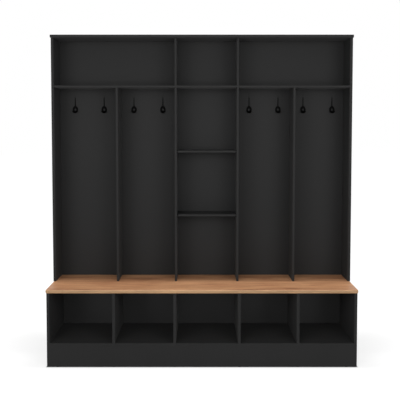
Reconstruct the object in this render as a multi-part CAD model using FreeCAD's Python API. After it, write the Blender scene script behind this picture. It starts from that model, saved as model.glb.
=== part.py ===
import FreeCAD, Part
import os
from collections import defaultdict

# Hall tree: a five-cubby shoe base with a bench top, and a shallower hutch with hooks standing on it.
# Millimetres. +X is to the right, the front faces -Y, +Z is up.
# The origin is the middle of the footprint, on the floor.

V = FreeCAD.Vector
RIGHT = V(1, 0, 0)
REAR = V(0, 1, 0)
UP = V(0, 0, 1)

# Overall sizes
overall_width = 1800.0
overall_depth = 400.0
overall_height = 1932.0
seat_height = 452.0

# Boards
carcass_board = 16.0    # sides, base dividers, base bottom, plinth and top panel
light_board = 12.0      # hutch dividers, shelves and back boards
bench_board = 22.0
back_sheet = 3.0        # sheet behind the cubbies
arris = 0.8             # eased long edges of each front edge band
joint_play = 0.4        # air at the edges of the back boards and the back sheet
snap = 0.01             # an edge this near a plane counts as lying on it

# Base
plinth_height = 120.0
base_inset = 5.0        # bench overhang at each end
base_setback = 4.0      # bench overhang at the front
sheet_inset = 2.0       # back sheet short of the outer faces
bench_corner = 9.0      # plan radius of the two front corners
bench_round = 7.0       # rounding of the bench's long edges

# Upright positions, shared by the base and the hutch, as shares of the overall width
column_offset_share = 0.0164    # middle of the centre column, right of the middle of the bench
column_share = 0.2072           # divider 2 to divider 3
left_bay_share = 0.1956         # divider 1 to divider 2
right_bay_share = 0.1881        # divider 3 to divider 4

# Hutch
hutch_setback = 213.0   # hutch front behind the bench front
top_overhang = 22.0     # top panel in front of the hutch
top_bay = 282.0         # clear height above the long shelf
lower_shelf_gap = 393.0  # bench to the lower loose shelf
upper_shelf_gap = 378.0  # upper loose shelf to the long shelf
shelf_setback = 20.0    # loose shelves behind the divider fronts
shelf_end_play = 2.0
shelf_back_play = 1.0
pin_inset = 30.0        # shelf pin to the front or back edge of its shelf

# Coat hooks
hook_spacing = 180.0
hook_drop = 51.0        # long shelf to the top of a hook
hook_height = 99.0
hook_plate = 5.0        # thickness of the casting
hook_reach = 30.0
eye_width = 33.5
eye_height = 45.0
eye_hole_width = 11.5
eye_hole_height = 15.5
stem_top_width = 4.0
stem_neck_width = 5.5
stem_round = 1.9        # rounding of the stem's top
neck_flare = 6.0
lip_round = 2.2         # rounding of the upturned end
hook_pin_radius = 1.5
hook_pin_length = 5.0
hook_pin_drop = 8.0     # locating pin below the top of the hook
hook_screw_bite = 3.8   # screw depth in the casting
hook_screw_web = 6.0    # screw axis above the hole of the eye

# Holes for fixing the hutch to a wall, out of sight beside the outer dividers
wall_hole_radius = 2.75
wall_hole_drop = 32.0   # below the long shelf
wall_hole_offset = 12.0  # from the outer faces of dividers 1 and 4

# Fastener sizes
fit = 0.1               # radial clearance of a fastener in its hole
end_play = 0.4          # air past the blind end of a fastener
head_sink = 0.2         # screw heads below the surface
confirmat_head = 5.0
confirmat_shank = 3.5
confirmat_thread = 2.5
confirmat_head_height = 4.0
confirmat_bite = 34.0
dowel_radius = 4.0
dowel_bite = 21.0
thin_dowel_radius = 3.0
thin_dowel_bite = 16.0
cam_radius = 7.5
cam_depth = 12.5
cam_reach = 34.0        # cam centre to the board edge
small_cam_radius = 6.0
small_cam_depth = 10.0
small_cam_reach = 24.0
cam_slot_width = 1.6
cam_slot_depth = 2.0
bolt_radius = 3.0
bolt_thread = 2.5
bolt_bite = 11.0
screw_radius = 2.0
screw_head = 4.0
screw_head_height = 2.6
screw_bite = 28.0
back_screw_bite = 18.0
back_screw_radius = 1.75
back_screw_head = 3.5
pan_head_height = 3.0
sheet_pin_radius = 0.9
sheet_pin_head = 2.0
sheet_pin_head_height = 1.0
sheet_pin_bite = 16.0
drive_sides = 6
drive_radius = 1.6      # across the corners of the drive in a screw head
drive_depth = 1.8
shelf_pin_radius = 2.5
shelf_pin_bite = 8.0
shelf_pin_peg = 9.0
shelf_pin_collar = 4.0
shelf_pin_collar_width = 1.2
shelf_pin_flat = 1.75   # axis of a shelf pin below its flat
glide_height = 3.0
glide_radius = 7.5
glide_edge = 1.0
glide_stem = 2.0
glide_stem_length = 12.0
block_side = 28.0
block_screw_sink = 7.0  # screw head inside a plinth block
blind_share = 0.6       # depth of a blind hole in a board's face, of the board's thickness

# Fastener spacing
plinth_dowel_inset = 34.0
screw_row_inset = 60.0  # base screws and front cams from the front and back edges
hutch_row_inset = 37.0  # hutch screws and dowels from the divider's front and back edges
hutch_dowel_inset = 22.0
back_dowel_count = 4
back_screw_count = 4
sheet_pin_count = 3
row_margin = 80.0       # first and last of a row of fixings from the ends of the board

# Levels
bottom_low = glide_height + plinth_height
bottom_top = bottom_low + carcass_board
bench_low = seat_height - bench_board
top_low = overall_height - carcass_board
shelf_top = top_low - top_bay
shelf_low = shelf_top - light_board
lower_shelf_low = seat_height + lower_shelf_gap
upper_shelf_low = shelf_low - upper_shelf_gap - light_board

# Planes from front to back
bench_front = -overall_depth / 2
rear = overall_depth / 2
base_front = bench_front + base_setback
sheet_front = rear - back_sheet
hutch_front = bench_front + hutch_setback
back_face = rear - light_board
hutch_middle = (hutch_front + back_face) / 2

# Planes from left to right
half_width = overall_width / 2
base_half = half_width - base_inset
column_middle = overall_width * column_offset_share
divider_2 = column_middle - overall_width * column_share / 2
divider_3 = column_middle + overall_width * column_share / 2
divider_1 = divider_2 - overall_width * left_bay_share
divider_4 = divider_3 + overall_width * right_bay_share
dividers = [divider_1, divider_2, divider_3, divider_4]
base_side_x = base_half - carcass_board / 2
hutch_side_x = half_width - carcass_board / 2
hutch_inner = half_width - carcass_board
bolt_side_x = (base_side_x + hutch_side_x) / 2

pieces = {}
groups = defaultdict(list)
holes = defaultdict(list)


def box(x, y, z):
    """A box between two planes each way."""
    size = [high - low for low, high in (x, y, z)]
    return Part.makeBox(*size, V(x[0], y[0], z[0]))


def board(x, y, z):
    """A board whose front edge band has its two long edges eased."""
    plain = box(x, y, z)
    front_edges = [edge for edge in plain.Edges if edge.BoundBox.YMax < y[0] + snap]
    longest = max(edge.Length for edge in front_edges)
    return plain.makeChamfer(arris, [edge for edge in front_edges if edge.Length > longest - snap])


def upright(x, thickness, y, z):
    """A standing board centred on x."""
    return board((x - thickness / 2, x + thickness / 2), y, z)


def turned(start, axis, steps, grow=0.0):
    """A turned pin: steps of (first radius, last radius, length) along an axis."""
    turnings = []
    for first, last, length in steps:
        if first == last:
            turnings.append(Part.makeCylinder(first + grow, length, start, axis))
        else:
            turnings.append(Part.makeCone(first + grow, last + grow, length, start, axis))
        start = start + axis * length
    whole = turnings[0]
    if len(turnings) > 1:
        whole = whole.fuse(turnings[1:]).removeSplitter()
    return whole


def six_sided(start, axis, radius, depth):
    """A six-sided drive, sunk from start along the axis."""
    turns = [FreeCAD.Rotation(UP, 360 / drive_sides * step) for step in range(drive_sides + 1)]
    corners = [turn.multVec(V(radius, 0, 0)) for turn in turns]
    prism = Part.Face(Part.makePolygon(corners)).extrude(V(0, 0, depth))
    prism.Placement = FreeCAD.Placement(start, FreeCAD.Rotation(UP, axis))
    return prism


def fasten(group, boards, start, axis, steps, driven=False):
    """Add one pin to a group and drill its hole, with its clearance, in the boards it passes."""
    pin = turned(start, axis, steps)
    if driven:
        pin = pin.cut(six_sided(start, axis, drive_radius, drive_depth))
    groups[group].append(pin)
    last = steps[-1][1]
    first = steps[0][0]
    drill = [(first, first, end_play)] + steps + [(last, last, end_play)]
    for name in boards:
        holes[name].append(turned(start - axis * end_play, axis, drill, fit))


def countersunk(head, radius, length):
    """Steps of a countersunk screw of this whole length."""
    return [(head, radius, screw_head_height), (radius, radius, length - screw_head_height)]


def cam(group, host, start, axis, radius, depth, bolt):
    """A cam drum, flush in a board's face, with a slotted end and a bore for its bolt."""
    drum = Part.makeCylinder(radius, depth - end_play, start, axis)
    turn = FreeCAD.Rotation(UP, axis)
    for width, height in ((cam_slot_width, radius), (radius, cam_slot_width)):
        slot = Part.makeBox(width, height, cam_slot_depth, V(-width / 2, -height / 2, 0))
        slot.Placement = FreeCAD.Placement(start, turn)
        drum = drum.cut(slot)
    groups[group].append(drum.cut(bolt))
    holes[host].append(Part.makeCylinder(radius + fit, depth, start, axis))


def spread(low, high, count):
    """Evenly spaced places between two ends, ends included."""
    return [low + (high - low) * step / (count - 1) for step in range(count)]


# Plinth: a ring of four boards with two bearers, on glides

plinth_z = (glide_height, bottom_low)
plinth_back_low = sheet_front - carcass_board
plinth_inner_y = (base_front + carcass_board, plinth_back_low)
pieces["plinth_front"] = board((-base_half, base_half), (base_front, base_front + carcass_board), plinth_z)
pieces["plinth_back"] = box((-base_half, base_half), (plinth_back_low, sheet_front), plinth_z)
plinth_cross = {
    "plinth_end_left": -base_side_x,
    "plinth_bearer_left": divider_2,
    "plinth_bearer_right": divider_3,
    "plinth_end_right": base_side_x,
}
for name, x in plinth_cross.items():
    half = carcass_board / 2
    pieces[name] = box((x - half, x + half), plinth_inner_y, plinth_z)

plinth_dowel_bite = carcass_board - arris - dowel_radius
for name, x in plinth_cross.items():
    for z in (glide_height + plinth_dowel_inset, bottom_low - plinth_dowel_inset):
        steps = [(dowel_radius, dowel_radius, plinth_dowel_bite + dowel_bite)]
        front_start = V(x, plinth_inner_y[0] - plinth_dowel_bite, z)
        fasten("plinth_dowels", ["plinth_front", name], front_start, REAR, steps)
        back_start = V(x, plinth_inner_y[1] + plinth_dowel_bite, z)
        fasten("plinth_dowels", ["plinth_back", name], back_start, -REAR, steps)

for side, x in ((1, -base_half + carcass_board), (1, divider_2 + carcass_board / 2),
                (-1, divider_3 - carcass_board / 2), (-1, base_half - carcass_board)):
    block_x = sorted((x, x + side * block_side))
    for y in ((plinth_inner_y[0], plinth_inner_y[0] + block_side),
              (plinth_inner_y[1] - block_side, plinth_inner_y[1])):
        block = box(block_x, y, (bottom_low - block_side, bottom_low))
        head_z = bottom_low - block_side + block_screw_sink
        start = V(sum(block_x) / 2, sum(y) / 2, head_z)
        length = bottom_low - head_z + carcass_board * blind_share
        steps = countersunk(screw_head, screw_radius, length)
        fasten("plinth_screws", ["base_bottom"], start, UP, steps, True)
        access = Part.makeCylinder(screw_head + fit, block_side, start - UP * block_side, UP)
        shank = turned(start, UP, steps, fit)
        groups["plinth_blocks"].append(block.cut([access, shank]))

glide_rows = {
    "plinth_front": base_front + carcass_board / 2,
    "plinth_back": sheet_front - carcass_board / 2,
}
for name, y in glide_rows.items():
    for x in [-base_half + screw_row_inset] + dividers + [base_half - screw_row_inset]:
        foot = (glide_radius - glide_edge, glide_radius, glide_edge)
        disc = (glide_radius, glide_radius, glide_height - glide_edge)
        stem = (glide_stem, glide_stem, glide_stem_length)
        groups["floor_glides"].append(turned(V(x, y, 0), UP, [foot, disc, stem]))
        hole_depth = glide_stem_length + end_play
        holes[name].append(Part.makeCylinder(glide_stem + fit, hole_depth, V(x, y, glide_height), UP))


# Base: bottom board, sides and dividers, and the sheet behind the cubbies

base_y = (base_front, sheet_front)
base_z = (bottom_top, bench_low)
pieces["base_bottom"] = board((-base_half, base_half), base_y, (bottom_low, bottom_top))
base_uprights = {"base_side_left": -base_side_x}
for number, x in enumerate(dividers, 1):
    base_uprights[f"base_divider_{number}"] = x
base_uprights["base_side_right"] = base_side_x
for name, x in base_uprights.items():
    pieces[name] = upright(x, carcass_board, base_y, base_z)

sheet_half = base_half - sheet_inset
sheet_z = (bottom_low + sheet_inset, bench_low - joint_play)
pieces["base_back"] = box((-sheet_half, sheet_half), (sheet_front, rear), sheet_z)

confirmat = [
    (confirmat_head, confirmat_head, confirmat_head_height),
    (confirmat_shank, confirmat_shank, carcass_board - confirmat_head_height - head_sink),
    (confirmat_thread, confirmat_thread, confirmat_bite),
]
screw_rows = (base_front + screw_row_inset, sheet_front - screw_row_inset)
for name, x in base_uprights.items():
    for y in screw_rows:
        fasten("base_screws", ["base_bottom", name], V(x, y, bottom_low + head_sink), UP, confirmat, True)
    for z in spread(bottom_top + row_margin, bench_low - row_margin, sheet_pin_count):
        steps = [
            (sheet_pin_head, sheet_pin_head, sheet_pin_head_height),
            (sheet_pin_radius, sheet_pin_radius, back_sheet - sheet_pin_head_height + sheet_pin_bite),
        ]
        fasten("base_back_pins", ["base_back", name], V(x, rear, z), -REAR, steps)


# Bench top, rounded at the front and the ends

bench = box((-half_width, half_width), (bench_front, rear), (bench_low, seat_height))
front_corners = [edge for edge in bench.Edges
                 if edge.Length < bench_board + snap and edge.BoundBox.YMax < bench_front + snap]
bench = bench.makeFillet(bench_corner, front_corners)
long_edges = [edge for edge in bench.Edges
              if edge.BoundBox.ZLength < snap and edge.BoundBox.YMin < rear - snap]
pieces["bench_top"] = bench.makeFillet(bench_round, long_edges)


# Hutch: sides, dividers, long shelf, upper dividers, top panel and back boards

divider_y = (hutch_front, back_face)
hutch_uprights = {"hutch_side_left": -hutch_side_x}
for number, x in enumerate(dividers, 1):
    hutch_uprights[f"hutch_divider_{number}"] = x
    pieces[f"hutch_divider_{number}"] = upright(x, light_board, divider_y, (seat_height, shelf_low))
hutch_uprights["hutch_side_right"] = hutch_side_x
for side, x in (("left", -hutch_side_x), ("right", hutch_side_x)):
    pieces[f"hutch_side_{side}"] = upright(x, carcass_board, (hutch_front, rear), (seat_height, top_low))
pieces["long_shelf"] = board((-hutch_inner, hutch_inner), divider_y, (shelf_low, shelf_top))
upper_dividers = {"upper_divider_left": divider_2, "upper_divider_right": divider_3}
for name, x in upper_dividers.items():
    pieces[name] = upright(x, light_board, divider_y, (shelf_top, top_low))
top_y = (hutch_front - top_overhang, rear)
pieces["top_panel"] = board((-half_width, half_width), top_y, (top_low, overall_height))

# The joints of the back boards lie in the corners outside dividers 2 and 3
left_joint = divider_2 - light_board / 2
right_joint = divider_3 + light_board / 2
back_boards = {
    "back_board_left": (-hutch_inner + joint_play, left_joint - joint_play),
    "back_board_centre": (left_joint, right_joint),
    "back_board_right": (right_joint + joint_play, hutch_inner - joint_play),
}
for name, x in back_boards.items():
    pieces[name] = box(x, (back_face, rear), (seat_height, top_low - joint_play))


# Cams, bolts and dowels that hold the bench and the hutch together

front_row, back_row = screw_rows[0], hutch_middle
base_dowel_rows = ((front_row + hutch_front) / 2, back_face - hutch_row_inset)
hutch_dowel_rows = (hutch_front + hutch_dowel_inset, back_face - hutch_dowel_inset)
bench_dowel_bite = bench_board / 2
for (base_name, x), (hutch_name, hutch_x) in zip(base_uprights.items(), hutch_uprights.items()):
    # the drums open away from the middle in the dividers, and inwards in the sides
    at_side = "side" in base_name
    outward = RIGHT if x > column_middle else -RIGHT
    axis = outward if at_side else -outward
    bolt_x = bolt_side_x * outward.x if at_side else x
    cam_x = x - axis.x * carcass_board / 2
    hutch_half = carcass_board / 2 if at_side else light_board / 2
    hutch_cam_x = hutch_x - axis.x * hutch_half

    bolt_low = bench_low - cam_reach
    short_bolt = [(bolt_radius, bolt_radius, cam_reach), (bolt_thread, bolt_thread, bolt_bite)]
    start = V(bolt_x, front_row, bolt_low)
    fasten("bench_bolts", [base_name, "bench_top"], start, UP, short_bolt)
    bore = turned(start - UP * cam_radius, UP, [(bolt_radius, bolt_radius, cam_reach)], fit)
    cam("base_cams", base_name, V(cam_x, front_row, bolt_low), axis, cam_radius, cam_depth, bore)

    long_bolt = [(bolt_radius, bolt_radius, cam_reach + bench_board + small_cam_reach)]
    start = V(bolt_x, back_row, bolt_low)
    fasten("hutch_bolts", [base_name, "bench_top", hutch_name], start, UP, long_bolt)
    bore = turned(start - UP * cam_radius, UP, [(bolt_radius, bolt_radius, cam_reach)], fit)
    cam("base_cams", base_name, V(cam_x, back_row, bolt_low), axis, cam_radius, cam_depth, bore)
    hutch_cam_z = seat_height + small_cam_reach
    bore_steps = [(bolt_radius, bolt_radius, small_cam_reach * 2)]
    bore = turned(V(bolt_x, back_row, seat_height), UP, bore_steps, fit)
    hutch_cam_start = V(hutch_cam_x, back_row, hutch_cam_z)
    cam("hutch_cams", hutch_name, hutch_cam_start, axis, small_cam_radius, small_cam_depth, bore)

    for y in base_dowel_rows:
        steps = [(dowel_radius, dowel_radius, dowel_bite + bench_dowel_bite)]
        fasten("base_dowels", [base_name, "bench_top"], V(x, y, bench_low - dowel_bite), UP, steps)
    for y in hutch_dowel_rows:
        steps = [(thin_dowel_radius, thin_dowel_radius, bench_dowel_bite + thin_dowel_bite)]
        start = V(hutch_x, y, seat_height - bench_dowel_bite)
        fasten("hutch_dowels", ["bench_top", hutch_name], start, UP, steps)


# Screws, cams and dowels of the long shelf and the top panel

hutch_rows = (hutch_front + hutch_row_inset, back_face - hutch_row_inset)
shelf_screw = countersunk(screw_head, screw_radius, light_board + screw_bite)
for number, x in enumerate(dividers, 1):
    for y in hutch_rows:
        start = V(x, y, shelf_top - head_sink)
        fasten("shelf_screws", ["long_shelf", f"hutch_divider_{number}"], start, -UP, shelf_screw, True)

shelf_middle = (shelf_low + shelf_top) / 2
for name, side in (("hutch_side_left", -1), ("hutch_side_right", 1)):
    for y in hutch_rows:
        axis = RIGHT * side
        steps = [(bolt_radius, bolt_radius, small_cam_reach), (bolt_thread, bolt_thread, bolt_bite)]
        start = V(side * (hutch_inner - small_cam_reach), y, shelf_middle)
        fasten("shelf_bolts", ["long_shelf", name], start, axis, steps)
        bore_steps = [(bolt_radius, bolt_radius, small_cam_reach)]
        bore = turned(start - axis * small_cam_radius, axis, bore_steps, fit)
        drum_start = V(start.x, y, shelf_low)
        cam("shelf_cams", "long_shelf", drum_start, UP, small_cam_radius, small_cam_depth, bore)

upper_dowel_rows = spread(*hutch_rows, 4)[1:3]
shelf_dowel_bite = light_board * blind_share
for name, x in upper_dividers.items():
    for y in upper_dowel_rows:
        steps = [(thin_dowel_radius, thin_dowel_radius, shelf_dowel_bite + thin_dowel_bite)]
        start = V(x, y, shelf_top - shelf_dowel_bite)
        fasten("upper_dowels", ["long_shelf", name], start, UP, steps)

top_screw = countersunk(screw_head, screw_radius, carcass_board + screw_bite)
top_carriers = {"hutch_side_left": -hutch_side_x, **upper_dividers, "hutch_side_right": hutch_side_x}
for name, x in top_carriers.items():
    for y in hutch_rows:
        start = V(x, y, overall_height - head_sink)
        fasten("top_screws", ["top_panel", name], start, -UP, top_screw, True)


# Screws and dowels of the back boards

back_screw = countersunk(back_screw_head, back_screw_radius, light_board + back_screw_bite)
divider_backs = ("back_board_left", "back_board_centre", "back_board_centre", "back_board_right")
for number, (x, back) in enumerate(zip(dividers, divider_backs), 1):
    for z in spread(seat_height + row_margin, shelf_low - row_margin, back_screw_count):
        start = V(x, rear - head_sink, z)
        fasten("back_screws", [back, f"hutch_divider_{number}"], start, -REAR, back_screw, True)
upper_middle = (shelf_top + top_low) / 2
for name, x in upper_dividers.items():
    start = V(x, rear - head_sink, upper_middle)
    fasten("back_screws", ["back_board_centre", name], start, -REAR, back_screw, True)
bay_edges = [-hutch_inner] + dividers + [hutch_inner]
bay_middles = [(low + high) / 2 for low, high in zip(bay_edges, bay_edges[1:])]
bay_backs = ["back_board_left"] * 2 + ["back_board_centre"] + ["back_board_right"] * 2
for x, back in zip(bay_middles, bay_backs):
    start = V(x, rear - head_sink, shelf_middle)
    fasten("back_screws", [back, "long_shelf"], start, -REAR, back_screw, True)

back_middle = (back_face + rear) / 2
side_dowel_bite = carcass_board * blind_share
for side, name, back in ((-1, "hutch_side_left", "back_board_left"),
                         (1, "hutch_side_right", "back_board_right")):
    for z in spread(seat_height + row_margin, top_low - row_margin, back_dowel_count):
        steps = [(thin_dowel_radius, thin_dowel_radius, side_dowel_bite + thin_dowel_bite)]
        start = V(side * (hutch_inner + side_dowel_bite), back_middle, z)
        fasten("back_dowels", [name, back], start, RIGHT * -side, steps)

wall_hole_z = shelf_low - wall_hole_drop
wall_hole_step = light_board / 2 + wall_hole_offset
wall_holes = {"back_board_left": divider_1 - wall_hole_step, "back_board_right": divider_4 + wall_hole_step}
for back, x in wall_holes.items():
    start = V(x, back_face - end_play, wall_hole_z)
    holes[back].append(Part.makeCylinder(wall_hole_radius, light_board + 2 * end_play, start, REAR))


# Two loose shelves in the centre column, on pins

column_x = (divider_2 + light_board / 2, divider_3 - light_board / 2)
loose_x = (column_x[0] + shelf_end_play, column_x[1] - shelf_end_play)
loose_y = (hutch_front + shelf_setback, back_face - shelf_back_play)
pin_rows = (loose_y[0] + pin_inset, loose_y[1] - pin_inset)
pin_sides = (("hutch_divider_2", column_x[0], RIGHT), ("hutch_divider_3", column_x[1], -RIGHT))
for name, low in (("column_shelf_lower", lower_shelf_low), ("column_shelf_upper", upper_shelf_low)):
    pieces[name] = board(loose_x, loose_y, (low, low + light_board))
    for divider, x, inward in pin_sides:
        for y in pin_rows:
            # the peg's flat top, cut at the shelf's underside, carries the shelf
            start = V(x, y, low - shelf_pin_flat) - inward * shelf_pin_bite
            collar = (shelf_pin_collar, shelf_pin_collar, shelf_pin_collar_width)
            shank = (shelf_pin_radius, shelf_pin_radius, shelf_pin_bite)
            peg = (shelf_pin_radius, shelf_pin_radius, shelf_pin_peg)
            pin = turned(start, inward, [shank, collar, peg])
            above = box(column_x, (y - pin_inset, y + pin_inset), (low, low + light_board))
            groups["shelf_pins"].append(pin.cut(above))
            drill_start = start - inward * end_play
            depth = shelf_pin_bite + end_play
            holes[divider].append(Part.makeCylinder(shelf_pin_radius + fit, depth, drill_start, inward))


# Coat hooks: a cast stem and eye, whose foot turns out and up, screwed on from behind

hook_top = shelf_low - hook_drop
hook_low = hook_top - hook_height
eye_z = hook_low + eye_height / 2
bend_radius = hook_reach / 2
bend_z = hook_low + bend_radius


def ellipse_prism(x, z, width, height, y):
    """An oval across the view, drawn from front to back."""
    ring = Part.Ellipse(V(0, 0, 0), max(width, height) / 2, min(width, height) / 2)
    face = Part.Face(Part.Wire(ring.toShape()))
    if height > width:
        face.rotate(V(0, 0, 0), UP, 90)
    face.rotate(V(0, 0, 0), RIGHT, 90)
    face.translate(V(x, y[0], z))
    return face.extrude(V(0, y[1] - y[0], 0))


def coat_hook(x):
    """One hook, its back on the back boards."""
    front = back_face - hook_plate
    inner = bend_radius - hook_plate
    middle_y = back_face - bend_radius
    lip_y = back_face - hook_reach
    side_view = [
        Part.LineSegment(V(0, back_face, hook_top), V(0, back_face, bend_z)),
        Part.Arc(V(0, back_face, bend_z), V(0, middle_y, hook_low), V(0, lip_y, bend_z)),
        Part.LineSegment(V(0, lip_y, bend_z), V(0, lip_y + hook_plate, bend_z)),
        Part.Arc(V(0, lip_y + hook_plate, bend_z), V(0, middle_y, bend_z - inner), V(0, front, bend_z)),
        Part.LineSegment(V(0, front, bend_z), V(0, front, hook_top)),
        Part.LineSegment(V(0, front, hook_top), V(0, back_face, hook_top)),
    ]
    profile = Part.Face(Part.Wire([part.toShape() for part in side_view]))
    profile.translate(V(x - eye_width, 0, 0))
    bent = profile.extrude(V(eye_width * 2, 0, 0))
    lip = [edge for edge in bent.Edges
           if edge.BoundBox.YMax < middle_y and edge.BoundBox.ZMin > bend_z - snap
           and edge.BoundBox.XLength > eye_width]
    bent = bent.makeFillet(lip_round, lip)

    depth = (lip_y - hook_plate, back_face + hook_plate)
    eye = ellipse_prism(x, eye_z, eye_width, eye_height, depth)
    neck, tip = stem_neck_width / 2, stem_top_width / 2
    corners = [(-neck, eye_z), (neck, eye_z), (tip, hook_top), (-tip, hook_top), (-neck, eye_z)]
    outline = Part.makePolygon([V(x + across, depth[0], z) for across, z in corners])
    stem = Part.Face(outline).extrude(V(0, depth[1] - depth[0], 0))
    stem_ends = [edge for edge in stem.Edges
                 if edge.BoundBox.ZMin > hook_top - snap and edge.BoundBox.YLength > hook_reach]
    stem = stem.makeFillet(stem_round, stem_ends)
    front_view = eye.fuse(stem).removeSplitter()
    neck_edges = [edge for edge in front_view.Edges
                  if edge.BoundBox.YLength > hook_reach and edge.BoundBox.XLength < snap
                  and eye_z < edge.BoundBox.ZMin < eye_z + eye_height / 2 + snap
                  and abs(edge.BoundBox.XMin - x) > snap]
    front_view = front_view.makeFillet(neck_flare, neck_edges)

    hook = bent.common(front_view)
    hook = hook.cut(ellipse_prism(x, eye_z, eye_hole_width, eye_hole_height, (middle_y, depth[1])))
    pin_start = V(x, back_face, hook_top - hook_pin_drop)
    return hook.fuse(Part.makeCylinder(hook_pin_radius, hook_pin_length, pin_start, REAR)).removeSplitter()


def clear_middle(bay):
    """Middle of the clear width of a bay, counted from 0 at the left."""
    left = bay_edges[bay] + (light_board / 2 if bay > 0 else 0)
    right = bay_edges[bay + 1] - (light_board / 2 if bay < len(dividers) else 0)
    return (left + right) / 2


hook_places = []
for bay in (0, 1, 3, 4):
    middle = clear_middle(bay)
    for x in (middle - hook_spacing / 2, middle + hook_spacing / 2):
        hook_places.append((x, bay_backs[bay]))
for number, (x, back) in enumerate(hook_places, 1):
    name = f"coat_hook_{number}"
    pieces[name] = coat_hook(x)
    pin_start = V(x, back_face - end_play, hook_top - hook_pin_drop)
    pin_depth = hook_pin_length + 2 * end_play
    holes[back].append(Part.makeCylinder(hook_pin_radius + fit, pin_depth, pin_start, REAR))
    steps = [
        (screw_head, screw_head, pan_head_height),
        (screw_radius, screw_radius, light_board - pan_head_height - head_sink + hook_screw_bite),
    ]
    screw_z = eye_z + eye_hole_height / 2 + hook_screw_web
    fasten("hook_screws", [back, name], V(x, rear - head_sink, screw_z), -REAR, steps, True)


# Drill the boards, gather the fastener groups and write every node

for name, drills in holes.items():
    pieces[name] = pieces[name].cut(drills)
for name, solids in groups.items():
    pieces[name] = Part.makeCompound(solids)

os.makedirs("parts", exist_ok=True)
for name, shape in pieces.items():
    shape.exportStep(f"parts/{name}.step")
print(len(pieces), "nodes,", sum(len(shape.Solids) for shape in pieces.values()), "solids")
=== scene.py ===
"""Finishes, cast hooks and studio for the hall tree, laid out as an add-on and run as a script."""

import math

import bmesh
import bpy
from bpy.props import FloatProperty, FloatVectorProperty, IntProperty, PointerProperty
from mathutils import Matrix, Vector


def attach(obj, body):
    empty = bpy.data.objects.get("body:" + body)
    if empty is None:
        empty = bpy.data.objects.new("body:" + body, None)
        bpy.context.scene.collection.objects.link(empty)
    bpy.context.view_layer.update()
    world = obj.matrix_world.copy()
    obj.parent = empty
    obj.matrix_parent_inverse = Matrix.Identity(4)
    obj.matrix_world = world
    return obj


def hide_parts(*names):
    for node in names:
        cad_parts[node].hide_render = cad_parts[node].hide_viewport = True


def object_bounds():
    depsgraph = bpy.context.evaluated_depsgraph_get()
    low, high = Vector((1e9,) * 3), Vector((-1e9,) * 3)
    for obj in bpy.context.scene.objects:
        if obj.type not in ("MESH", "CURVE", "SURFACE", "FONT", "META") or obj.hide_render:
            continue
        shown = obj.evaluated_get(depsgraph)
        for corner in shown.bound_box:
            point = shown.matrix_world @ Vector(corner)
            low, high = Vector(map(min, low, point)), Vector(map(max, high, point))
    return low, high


bl_info = {
    "name": "Hall Tree",
    "version": (1, 0, 0),
    "blender": (4, 5, 0),
    "location": "View3D > Sidebar > Hall Tree",
    "description": "Finishes, cast coat hooks and a white studio for a hall tree with an oak bench",
    "category": "Object",
}

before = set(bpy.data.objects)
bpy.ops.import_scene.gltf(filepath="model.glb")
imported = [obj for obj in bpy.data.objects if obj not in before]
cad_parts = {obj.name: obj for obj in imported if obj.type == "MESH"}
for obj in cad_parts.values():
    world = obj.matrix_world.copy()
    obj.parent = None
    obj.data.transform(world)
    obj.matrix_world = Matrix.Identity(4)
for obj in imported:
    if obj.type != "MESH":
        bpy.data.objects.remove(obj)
cad_low, cad_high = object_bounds()

CARCASS = "carcass"
HOOKS = [f"coat_hook_{number}" for number in range(1, 9)]
EDGED_BOARDS = [
    "base_bottom", "base_side_left", "base_side_right",
    "base_divider_1", "base_divider_2", "base_divider_3", "base_divider_4",
    "hutch_side_left", "hutch_side_right",
    "hutch_divider_1", "hutch_divider_2", "hutch_divider_3", "hutch_divider_4",
    "long_shelf", "upper_divider_left", "upper_divider_right", "top_panel",
]
LOOSE_SHELVES = ["column_shelf_lower", "column_shelf_upper"]
PLAIN_BOARDS = [
    "plinth_front", "plinth_back", "plinth_end_left", "plinth_end_right",
    "plinth_bearer_left", "plinth_bearer_right",
    "back_board_left", "back_board_centre", "back_board_right",
]
BRIGHT_METAL = [
    "plinth_screws", "base_screws", "shelf_screws", "top_screws", "back_screws", "hook_screws",
    "bench_bolts", "hutch_bolts", "shelf_bolts", "base_back_pins",
]
DARK_METAL = ["base_cams", "hutch_cams", "shelf_cams", "shelf_pins"]
BEECH = [
    "plinth_dowels", "base_dowels", "hutch_dowels", "upper_dowels", "back_dowels", "plinth_blocks",
]

# Sheen of the laminate. The loose shelves have none, so that their tops stay dark.
BOARD_SHEEN = 0.036
SHELF_SHEEN = 0.0
# How squarely a face looks backwards where it starts to be raw, and where it is wholly raw
RAW_FACING = (0.85, 0.97)
# Points of a hook's mesh that lie nearer than this are one point
MERGE_GAP = 1e-6
# How far a smoothing pass moves a point of a hook towards its neighbours
SMOOTH_SHARE = 0.5
# Strength of the light from all round, where 1 would show as white
WORLD_LIGHT = 0.28
# Half the width of the line along the foot on which the floor's glow sets in
FOOT_LINE = 0.005
WHITE = (1.0, 1.0, 1.0, 1.0)
# Soft lamps: name, place, point aimed at, width and height, watts
LAMPS = (
    ("front_lamp", (0.0, -2.4, 1.7), (0.0, 0.0, 1.9), (3.2, 1.2), 30.0),
    ("low_lamp", (0.0, -4.0, 0.45), (0.0, 0.0, 0.3), (3.0, 0.6), 4.0),
    ("left_lamp", (-2.7, -4.2, 1.3), (0.0, 0.0, 1.0), (1.8, 2.0), 43.0),
    ("right_lamp", (2.7, -4.2, 1.3), (0.0, 0.0, 1.0), (1.8, 2.0), 43.0),
    ("top_lamp", (0.0, -0.115, 4.6), (0.0, -0.115, 0.6), (4.0, 0.35), 94.0),
)


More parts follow.
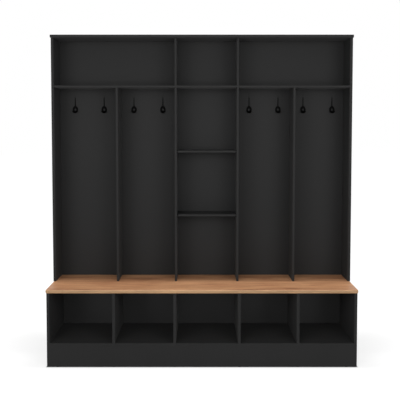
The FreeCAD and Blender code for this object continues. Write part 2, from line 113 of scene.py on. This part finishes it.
class Wire:
    """One output of a node. Arithmetic on it adds Math nodes."""

    def __init__(self, paint, socket):
        self.paint = paint
        self.socket = socket

    def maths(self, operation, left, right):
        """A Math node on two values or wires."""
        return self.paint.add("ShaderNodeMath", {"operation": operation}, {0: left, 1: right})

    def __add__(self, other):
        return self.maths("ADD", self, other)

    def __sub__(self, other):
        return self.maths("SUBTRACT", self, other)

    def __rsub__(self, other):
        return self.maths("SUBTRACT", other, self)

    def __mul__(self, other):
        return self.maths("MULTIPLY", self, other)

    def __abs__(self):
        return self.maths("ABSOLUTE", self, 0.0)

    __radd__ = __add__
    __rmul__ = __mul__

    def swing(self, reach):
        """A noise turned into a rise and fall about 0."""
        return (self - 0.5) * reach


class Paint:
    """The nodes of one material or of the world."""

    def __init__(self, tree):
        self.tree = tree

    def add(self, kind, settings=None, sockets=None, output=0):
        """A node of this kind: first its settings, then the values or links of its sockets."""
        node = self.tree.nodes.new(kind)
        for name, value in (settings or {}).items():
            if name == "stops":
                self.set_stops(node.color_ramp, value)
            else:
                setattr(node, name, value)
        self.feed(node, sockets or {})
        return Wire(self, node.outputs[output])

    def feed(self, node, sockets):
        """Give a node's sockets their values or links."""
        for key, value in sockets.items():
            if isinstance(value, Wire):
                self.tree.links.new(value.socket, node.inputs[key])
            else:
                node.inputs[key].default_value = value

    def set_stops(self, ramp, stops):
        """Lay out a colour ramp as (place, colour) pairs in rising order."""
        while len(ramp.elements) < len(stops):
            ramp.elements.new(1.0)
        for element, (place, colour) in zip(ramp.elements, stops):
            element.position = place
            element.color = colour

    def place(self):
        """Where a point lies on the piece."""
        return self.add("ShaderNodeTexCoord", output="Object")

    def facing(self, axis):
        """How far the surface faces along an axis of the piece, from -1 to 1."""
        normal = self.add("ShaderNodeTexCoord", output="Normal")
        return self.add("ShaderNodeSeparateXYZ", None, {0: normal}, output=axis)

    def noise(self, scale, detail=2.0, rough=0.5, bend=0.0):
        """Noise with a number of waves to the metre along each axis."""
        spread = self.add("ShaderNodeMapping", None, {"Vector": self.place(), "Scale": scale})
        sockets = {"Vector": spread, "Scale": 1.0}
        sockets.update({"Detail": detail, "Roughness": rough, "Distortion": bend})
        return self.add("ShaderNodeTexNoise", None, sockets)

    def clamp(self, value):
        """A value held between 0 and 1."""
        return self.add("ShaderNodeClamp", None, {0: value})

    def steps(self, value, low, high):
        """0 below low and 1 above high, with a smooth rise between."""
        sockets = {"Value": value, "From Min": low, "From Max": high}
        return self.add("ShaderNodeMapRange", {"interpolation_type": "SMOOTHSTEP"}, sockets)

    def mix(self, share, first, second):
        """A colour between two others."""
        sockets = {0: share, 6: first, 7: second}
        return self.add("ShaderNodeMix", {"data_type": "RGBA"}, sockets, output=2)

    def shades(self, share, colour, dark, pale):
        """A colour between a darker and a paler shade of itself."""
        return self.mix(share, shade(colour, dark), shade(colour, pale))

    def ramp(self, value, stops):
        """A colour that follows a value along the stops of a ramp."""
        return self.add("ShaderNodeValToRGB", {"stops": stops}, {0: value})

    def bump(self, height, depth, strength):
        """A normal that follows a height between 0 and 1, for a relief this deep."""
        sockets = {"Height": height, "Distance": depth, "Strength": strength}
        return self.add("ShaderNodeBump", None, sockets)


def shade(colour, share=1.0):
    """A colour made lighter or darker, with its alpha."""
    return (*[part * share for part in colour], 1.0)


def new_finish(name, constants):
    """A material, its paint and its shader, on which the values that never vary are set."""
    material = bpy.data.materials.new(name)
    material.use_nodes = True
    paint = Paint(material.node_tree)
    shader = material.node_tree.nodes["Principled BSDF"]
    paint.feed(shader, constants)
    return material, paint, shader


def chipboard(paint, colour):
    """The raw core of a board: pale and dark flakes pressed together."""
    sockets = {"Vector": paint.place(), "Scale": 420.0}
    flakes = paint.add("ShaderNodeTexVoronoi", None, sockets, output="Color")
    tone = paint.add("ShaderNodeSeparateXYZ", None, {0: flakes})
    return paint.shades(tone, colour, dark=0.6, pale=1.25)


def black_laminate(name, colours, edged, sheen):
    """Matt black melamine with a fine pearl; edged boards have eased front edges made paler, partly
    as wear and partly as a painted highlight, and raw rear ones.
    """
    constants = {"Specular IOR Level": 0.08, "Sheen Weight": sheen, "Sheen Roughness": 0.34}
    material, paint, shader = new_finish(name, constants)
    colour = colours.laminate
    cloud = paint.noise((5.0, 5.0, 5.0), detail=3.0)
    speck = paint.noise((420.0, 420.0, 420.0), rough=0.6)
    pearl = paint.noise((1500.0, 1500.0, 1500.0), detail=1.0)
    body = paint.shades(cloud, colour, dark=0.86, pale=1.12)
    body = paint.mix(paint.steps(speck, 0.52, 0.75) * 0.4, body, shade(colour, 1.6))
    roughness = 0.5 + cloud.swing(0.16) + speck.swing(0.1)
    if edged:
        back = paint.facing("Y")
        # 1 on the eased edges, which face half forwards, and 0 on front and sides
        eased = paint.clamp(back * (back + 1.0) * -4.0)
        # Paler patches on the eased edges: partly wear, partly a painted highlight
        wear_and_highlight = eased * paint.steps(cloud, 0.25, 0.7)
        body = paint.mix(wear_and_highlight * 0.5, body, shade(colour, 1.8))
        raw = paint.steps(back, *RAW_FACING)
        body = paint.mix(raw, body, chipboard(paint, colours.chipboard))
        roughness = roughness + raw * 0.35
    relief = paint.bump(pearl, depth=0.0002, strength=0.25)
    paint.feed(shader, {"Base Color": body, "Roughness": roughness, "Normal": relief})
    return material


def oak_laminate(colours):
    """Satin oak print with its grain along the bench, a paler edge in front and a raw one behind."""
    material, paint, shader = new_finish("oak_laminate", {"Specular IOR Level": 0.3})
    light, red, dark, edge = colours.oak_light, colours.oak_red, colours.oak_dark, colours.oak_edge
    drift = paint.noise((1.4, 8.0, 8.0), detail=3.0, bend=0.6)
    grain = paint.noise((4.0, 40.0, 40.0), detail=6.0, rough=0.62, bend=0.5)
    fibre = paint.noise((14.0, 260.0, 260.0), detail=4.0, rough=0.6)
    pore = paint.noise((30.0, 900.0, 900.0))
    tone = drift * 0.35 + grain * 0.45 + fibre * 0.2
    face_stops = [
        (0.41, shade(dark)),
        (0.47, shade(red)),
        (0.525, shade(light, 0.92)),
        (0.59, shade(light, 1.14)),
    ]
    face = paint.ramp(tone, face_stops)
    band = paint.ramp(tone, [(0.38, shade(edge, 0.7)), (0.62, shade(edge, 1.14))])
    back = paint.facing("Y")
    wood = paint.mix(paint.steps(back * -1.0, 0.05, 0.95), face, band)
    pores = paint.steps(pore, 0.6, 0.72)
    wood = paint.mix(pores * 0.45, wood, shade(dark, 0.7))
    raw = paint.steps(back, *RAW_FACING)
    wood = paint.mix(raw, wood, chipboard(paint, colours.chipboard))
    roughness = 0.46 + grain.swing(0.2) + pores * 0.12
    relief = paint.bump(fibre * 0.6 - pores * 0.8, depth=0.0002, strength=0.5)
    paint.feed(shader, {"Base Color": wood, "Roughness": roughness, "Normal": relief})
    return material


def lacquered_hardboard(colours):
    """Hardboard lacquered black in front, raw and brown behind."""
    material, paint, shader = new_finish("lacquered_hardboard", {"Specular IOR Level": 0.25})
    cloud = paint.noise((6.0, 6.0, 6.0), detail=3.0)
    fibre = paint.noise((160.0, 30.0, 240.0), detail=5.0, rough=0.65)
    behind = paint.steps(paint.facing("Y"), 0.4, 0.8)
    lacquer = paint.shades(cloud, colours.laminate, dark=0.88, pale=1.12)
    brown = paint.shades(fibre, colours.hardboard, dark=0.65, pale=1.3)
    body = paint.mix(behind, lacquer, brown)
    roughness = 0.5 + cloud.swing(0.12) + behind * 0.3
    relief = paint.bump(fibre, depth=0.0003, strength=0.4)
    paint.feed(shader, {"Base Color": body, "Roughness": roughness, "Normal": relief})
    return material


def gloss_enamel(colour):
    """Thick gloss black enamel over a casting, slightly uneven."""
    material, paint, shader = new_finish("gloss_enamel", {"Specular IOR Level": 0.012})
    flow = paint.noise((90.0, 90.0, 60.0), detail=3.0)
    dust = paint.noise((900.0, 900.0, 900.0), detail=1.0)
    body = paint.shades(flow, colour, dark=0.7, pale=1.3)
    roughness = 0.24 + flow.swing(0.12) + paint.steps(dust, 0.62, 0.8) * 0.15
    relief = paint.bump(flow, depth=0.0006, strength=0.35)
    paint.feed(shader, {"Base Color": body, "Roughness": roughness, "Normal": relief})
    return material


def plated_steel(name, colour, dullness):
    """Plated steel with a faint drawn grain and duller patches."""
    material, paint, shader = new_finish(name, {"Metallic": 1.0})
    patch = paint.noise((140.0, 140.0, 140.0), detail=3.0)
    grain = paint.noise((2600.0, 2600.0, 500.0))
    body = paint.shades(patch, colour, dark=0.75, pale=1.15)
    roughness = dullness + patch.swing(0.2) + grain.swing(0.1)
    relief = paint.bump(grain, depth=0.0001, strength=0.3)
    paint.feed(shader, {"Base Color": body, "Roughness": roughness, "Normal": relief})
    return material


def turned_beech(colour):
    """Plain beech with short dark flecks."""
    material, paint, shader = new_finish("turned_beech", {"Specular IOR Level": 0.25})
    grain = paint.noise((120.0, 120.0, 120.0), detail=5.0, rough=0.6, bend=0.8)
    fleck = paint.noise((900.0, 900.0, 300.0))
    body = paint.shades(grain, colour, dark=0.75, pale=1.2)
    body = paint.mix(paint.steps(fleck, 0.6, 0.75) * 0.4, body, shade(colour, 0.5))
    roughness = 0.6 + grain.swing(0.2)
    relief = paint.bump(fleck, depth=0.0002, strength=0.4)
    paint.feed(shader, {"Base Color": body, "Roughness": roughness, "Normal": relief})
    return material


def moulded_plastic(colour):
    """Black moulded plastic with a spark-eroded face."""
    material, paint, shader = new_finish("moulded_plastic", {"Specular IOR Level": 0.4})
    cloud = paint.noise((60.0, 60.0, 60.0))
    texture = paint.noise((2200.0, 2200.0, 2200.0))
    body = paint.shades(cloud, colour, dark=0.8, pale=1.2)
    roughness = 0.55 + texture.swing(0.2)
    relief = paint.bump(texture, depth=0.0001, strength=0.4)
    paint.feed(shader, {"Base Color": body, "Roughness": roughness, "Normal": relief})
    return material


def finish_nodes(names, material):
    """Give CAD nodes one finish."""
    for name in names:
        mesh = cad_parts[name].data
        mesh.materials.clear()
        mesh.materials.append(material)


class HallTreeSizes(bpy.types.PropertyGroup):
    """Sizes that a user would change."""

    hook_grid: FloatProperty(
        name="Hook Grid", description="Spacing of the mesh that rounds a cast hook",
        default=0.0006, unit="LENGTH", precision=5)
    hook_passes: IntProperty(
        name="Hook Passes", description="Smoothing passes over a cast hook", default=8)
    floor_reach: FloatProperty(
        name="Floor Reach", description="Side of the studio floor", default=60.0, unit="LENGTH")
    # How far out, and down to what share, the floor's glow is held back beside the object: painted
    # shade around it
    painted_shade_reach: FloatProperty(
        name="Shadow Reach", description="How far from the object its shadow shows on the floor",
        default=0.8, unit="LENGTH")
    painted_shade_glow: FloatProperty(
        name="Shadow Glow", description="Share of the floor's glow that is left beside the object",
        default=0.8, subtype="FACTOR", min=0.0, max=1.0)
    eye_back: FloatProperty(
        name="Camera Distance", description="Camera in front of the middle of the footprint",
        default=3.892, unit="LENGTH")
    eye_side: FloatProperty(
        name="Camera Side", description="Camera to the right of the middle",
        default=-0.011, unit="LENGTH")
    eye_height: FloatProperty(
        name="Camera Height", description="Camera above the floor", default=1.380, unit="LENGTH")
    eye_pitch: FloatProperty(
        name="Camera Pitch", description="Camera tilted down",
        default=math.radians(2.987), subtype="ANGLE")
    eye_lens: FloatProperty(
        name="Camera Lens", description="Focal length in millimetres", default=58.58, unit="CAMERA")
    eye_shift: FloatProperty(
        name="Camera Shift", description="Vertical shift of the frame", default=-0.095)


def colour_property(name, description, default):
    """A colour that the panel shows."""
    return FloatVectorProperty(
        name=name, description=description, default=default, subtype="COLOR", min=0.0, max=1.0)


class HallTreeColours(bpy.types.PropertyGroup):
    """Colours that a user would change."""

    laminate: colour_property("Laminate", "Black boards", (0.022, 0.022, 0.022))
    chipboard: colour_property("Chipboard", "Raw rear edges of the boards", (0.30, 0.21, 0.125))
    hardboard: colour_property("Hardboard", "Raw back of the cubbies' sheet", (0.16, 0.09, 0.045))
    oak_light: colour_property("Oak Light", "Pale streaks of the bench", (0.60, 0.310, 0.158))
    oak_red: colour_property("Oak Red", "Reddish streaks of the bench", (0.49, 0.225, 0.110))
    oak_dark: colour_property("Oak Dark", "Dark streaks of the bench", (0.33, 0.149, 0.072))
    oak_edge: colour_property("Oak Edge", "Edge band of the bench", (0.52, 0.315, 0.165))
    enamel: colour_property("Enamel", "Coat hooks", (0.0012, 0.0012, 0.0012))
    zinc: colour_property("Zinc", "Screws and bolts", (0.56, 0.56, 0.57))
    dark_zinc: colour_property("Dark Zinc", "Cams and shelf pins", (0.04, 0.04, 0.042))
    beech: colour_property("Beech", "Dowels and blocks", (0.55, 0.38, 0.22))
    plastic: colour_property("Plastic", "Floor glides", (0.015, 0.015, 0.015))
    floor: colour_property("Floor", "Studio floor", (0.38, 0.38, 0.38))
    glow: colour_property("Floor Glow", "Lifts the floor to white where it is seen", (0.9, 0.9, 0.9))


class HALLTREE_OT_boards(bpy.types.Operator):
    """Finish the black boards of the base and the hutch"""

    bl_idname = "halltree.boards"
    bl_label = "Boards"

    def execute(self, context):
        colours = context.scene.hall_tree_colours
        edged = black_laminate("edged_laminate", colours, edged=True, sheen=BOARD_SHEEN)
        shelf = black_laminate("shelf_laminate", colours, edged=True, sheen=SHELF_SHEEN)
        plain = black_laminate("plain_laminate", colours, edged=False, sheen=BOARD_SHEEN)
        finish_nodes(EDGED_BOARDS, edged)
        finish_nodes(LOOSE_SHELVES, shelf)
        finish_nodes(PLAIN_BOARDS, plain)
        return {"FINISHED"}


class HALLTREE_OT_back_sheet(bpy.types.Operator):
    """Finish the sheet behind the cubbies"""

    bl_idname = "halltree.back_sheet"
    bl_label = "Back Sheet"

    def execute(self, context):
        finish_nodes(["base_back"], lacquered_hardboard(context.scene.hall_tree_colours))
        return {"FINISHED"}


class HALLTREE_OT_bench(bpy.types.Operator):
    """Finish the oak bench top"""

    bl_idname = "halltree.bench"
    bl_label = "Bench"

    def execute(self, context):
        finish_nodes(["bench_top"], oak_laminate(context.scene.hall_tree_colours))
        return {"FINISHED"}


class HALLTREE_OT_hooks(bpy.types.Operator):
    """Cast the coat hooks with rounded edges in place of the plain ones"""

    bl_idname = "halltree.hooks"
    bl_label = "Coat Hooks"

    def execute(self, context):
        sizes = context.scene.hall_tree_sizes
        enamel = gloss_enamel(context.scene.hall_tree_colours.enamel)
        for name in HOOKS:
            hook = self.cast(context, name, sizes)
            hook.data.materials.clear()
            hook.data.materials.append(enamel)
            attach(hook, CARCASS)
            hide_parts(name)
        return {"FINISHED"}

    def cast(self, context, name, sizes):
        """A merged copy of a hook, meshed evenly and smoothed until its edges are round."""
        shape = bmesh.new()
        shape.from_mesh(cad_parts[name].data)
        bmesh.ops.remove_doubles(shape, verts=shape.verts, dist=MERGE_GAP)
        mesh = bpy.data.meshes.new(f"cast_{name}")
        shape.to_mesh(mesh)
        shape.free()
        hook = bpy.data.objects.new(f"cast_{name}", mesh)
        context.scene.collection.objects.link(hook)
        grid = hook.modifiers.new("grid", "REMESH")
        grid.mode = "VOXEL"
        grid.voxel_size = sizes.hook_grid
        soften = hook.modifiers.new("soften", "SMOOTH")
        soften.factor = SMOOTH_SHARE
        soften.iterations = sizes.hook_passes
        finished = hook.evaluated_get(context.evaluated_depsgraph_get())
        rounded = bpy.data.meshes.new_from_object(finished)
        hook.modifiers.clear()
        hook.data = rounded
        rounded.shade_smooth()
        return hook


class HALLTREE_OT_fasteners(bpy.types.Operator):
    """Finish the screws, bolts, cams and pins"""

    bl_idname = "halltree.fasteners"
    bl_label = "Fasteners"

    def execute(self, context):
        colours = context.scene.hall_tree_colours
        finish_nodes(BRIGHT_METAL, plated_steel("zinc_plate", colours.zinc, dullness=0.34))
        finish_nodes(DARK_METAL, plated_steel("dark_zinc_plate", colours.dark_zinc, dullness=0.42))
        return {"FINISHED"}


class HALLTREE_OT_joinery(bpy.types.Operator):
    """Finish the beech dowels and blocks, and the plastic glides"""

    bl_idname = "halltree.joinery"
    bl_label = "Dowels, Blocks and Glides"

    def execute(self, context):
        colours = context.scene.hall_tree_colours
        finish_nodes(BEECH, turned_beech(colours.beech))
        finish_nodes(["floor_glides"], moulded_plastic(colours.plastic))
        return {"FINISHED"}


class HALLTREE_OT_stage(bpy.types.Operator):
    """Build the white studio: floor, world, lamps and camera"""

    bl_idname = "halltree.stage"
    bl_label = "Studio"

    def execute(self, context):
        sizes = context.scene.hall_tree_sizes
        colours = context.scene.hall_tree_colours
        self.floor(context, sizes, colours)
        self.world(context)
        for name, place, aim, size, power in LAMPS:
            self.lamp(context, name, place, aim, size, power)
        self.camera(context, sizes)
        context.scene.view_settings.view_transform = "Standard"
        return {"FINISHED"}

    def seen(self, paint):
        """1 where a ray comes from the camera, a reflection or glass."""
        rays = paint.add("ShaderNodeLightPath").socket.node.outputs
        kinds = ("Is Camera Ray", "Is Glossy Ray", "Is Transmission Ray")
        camera, glossy, clear = [Wire(paint, rays[kind]) for kind in kinds]
        return paint.clamp(camera + glossy + clear)

    def glow_past_painted_shade(self, paint, sizes):
        """The floor's glow: 0 under the object, less than 1 beside it, and 1 further out. Holding the
        glow back beside the object paints shade around it, over which its real shadow shows.
        """
        past_sides = []
        for axis, reach in (("X", cad_high.x), ("Y", cad_high.y)):
            along = paint.add("ShaderNodeSeparateXYZ", None, {0: paint.place()}, output=axis)
            past_sides.append(abs(along) - reach)
        past_x, past_y = past_sides
        outside = past_x.maths("MAXIMUM", past_x, past_y)
        further = paint.steps(outside, 0.0, sizes.painted_shade_reach)
        # Less glow beside the object, rising to full glow at the painted shade's reach: painted shade
        # around the object
        glow_in_painted_shade = sizes.painted_shade_glow + further * (1.0 - sizes.painted_shade_glow)
        return paint.steps(outside, -FOOT_LINE, FOOT_LINE) * glow_in_painted_shade

    def floor(self, context, sizes, colours):
        """A pale floor that shows white, with the object's shadow on it and painted shade beside the
        object.
        """
        shape = bmesh.new()
        bmesh.ops.create_grid(shape, x_segments=1, y_segments=1, size=sizes.floor_reach / 2)
        mesh = bpy.data.meshes.new("studio_floor")
        shape.to_mesh(mesh)
        shape.free()
        floor = bpy.data.objects.new("studio_floor", mesh)
        context.scene.collection.objects.link(floor)
        constants = {"Specular IOR Level": 0.0, "Roughness": 0.8, "Emission Strength": 1.0}
        material, paint, shader = new_finish("studio_floor", constants)
        cloud = paint.noise((0.7, 0.7, 0.7))
        body = paint.shades(cloud, colours.floor, dark=0.985, pale=1.0)
        white = self.seen(paint) * self.glow_past_painted_shade(paint, sizes)
        glow = paint.shades(white, colours.glow, dark=0.0, pale=1.0)
        paint.feed(shader, {"Base Color": body, "Emission Color": glow})
        mesh.materials.append(material)
        return floor

    def world(self, context):
        """Soft light all round, white where it shows."""
        world = context.scene.world or bpy.data.worlds.new("studio")
        context.scene.world = world
        world.use_nodes = True
        paint = Paint(world.node_tree)
        level = WORLD_LIGHT + self.seen(paint) * (1.0 - WORLD_LIGHT)
        paint.feed(world.node_tree.nodes["Background"], {"Color": WHITE, "Strength": level})

    def lamp(self, context, name, place, aim, size, power):
        """A rectangular soft lamp."""
        light = bpy.data.lights.new(name, "AREA")
        light.shape = "RECTANGLE"
        light.size, light.size_y = size
        light.energy = power
        lamp = bpy.data.objects.new(name, light)
        lamp.location = place
        lamp.visible_camera = False
        aim_x, aim_y, aim_z = [end - start for start, end in zip(place, aim)]
        level_reach = math.hypot(aim_x, aim_y)
        tilt = math.atan2(level_reach, -aim_z)
        turn = math.atan2(-aim_x, aim_y)
        lamp.rotation_euler = (tilt, 0.0, turn)
        context.scene.collection.objects.link(lamp)

    def camera(self, context, sizes):
        """A camera in front that frames the object as the photograph does."""
        lens = bpy.data.cameras.new("photo_view")
        lens.lens = sizes.eye_lens
        lens.shift_y = sizes.eye_shift
        camera = bpy.data.objects.new("photo_view", lens)
        camera.location = (sizes.eye_side, -sizes.eye_back, sizes.eye_height)
        camera.rotation_euler = (math.pi / 2 - sizes.eye_pitch, 0.0, 0.0)
        context.scene.collection.objects.link(camera)
        context.scene.camera = camera


OPERATORS = (
    HALLTREE_OT_boards,
    HALLTREE_OT_back_sheet,
    HALLTREE_OT_bench,
    HALLTREE_OT_hooks,
    HALLTREE_OT_fasteners,
    HALLTREE_OT_joinery,
    HALLTREE_OT_stage,
)


class HALLTREE_PT_panel(bpy.types.Panel):
    """The hall tree's pieces, sizes and colours"""

    bl_idname = "HALLTREE_PT_panel"
    bl_label = "Hall Tree"
    bl_space_type = "VIEW_3D"
    bl_region_type = "UI"
    bl_category = "Hall Tree"

    def draw(self, context):
        for operator in OPERATORS:
            self.layout.operator(operator.bl_idname)
        for group in (context.scene.hall_tree_sizes, context.scene.hall_tree_colours):
            for name in group.__annotations__:
                self.layout.prop(group, name)


CLASSES = (HallTreeSizes, HallTreeColours, *OPERATORS, HALLTREE_PT_panel)


def register():
    """Add the classes and their settings to Blender."""
    for kind in CLASSES:
        bpy.utils.register_class(kind)
    bpy.types.Scene.hall_tree_sizes = PointerProperty(type=HallTreeSizes)
    bpy.types.Scene.hall_tree_colours = PointerProperty(type=HallTreeColours)


def unregister():
    """Take the settings and the classes out of Blender."""
    del bpy.types.Scene.hall_tree_colours
    del bpy.types.Scene.hall_tree_sizes
    for kind in reversed(CLASSES):
        bpy.utils.unregister_class(kind)


def main():
    """Build every piece and the studio."""
    register()
    bpy.ops.halltree.boards()
    bpy.ops.halltree.back_sheet()
    bpy.ops.halltree.bench()
    bpy.ops.halltree.hooks()
    bpy.ops.halltree.fasteners()
    bpy.ops.halltree.joinery()
    bpy.ops.halltree.stage()


if __name__ == "__main__":
    main()
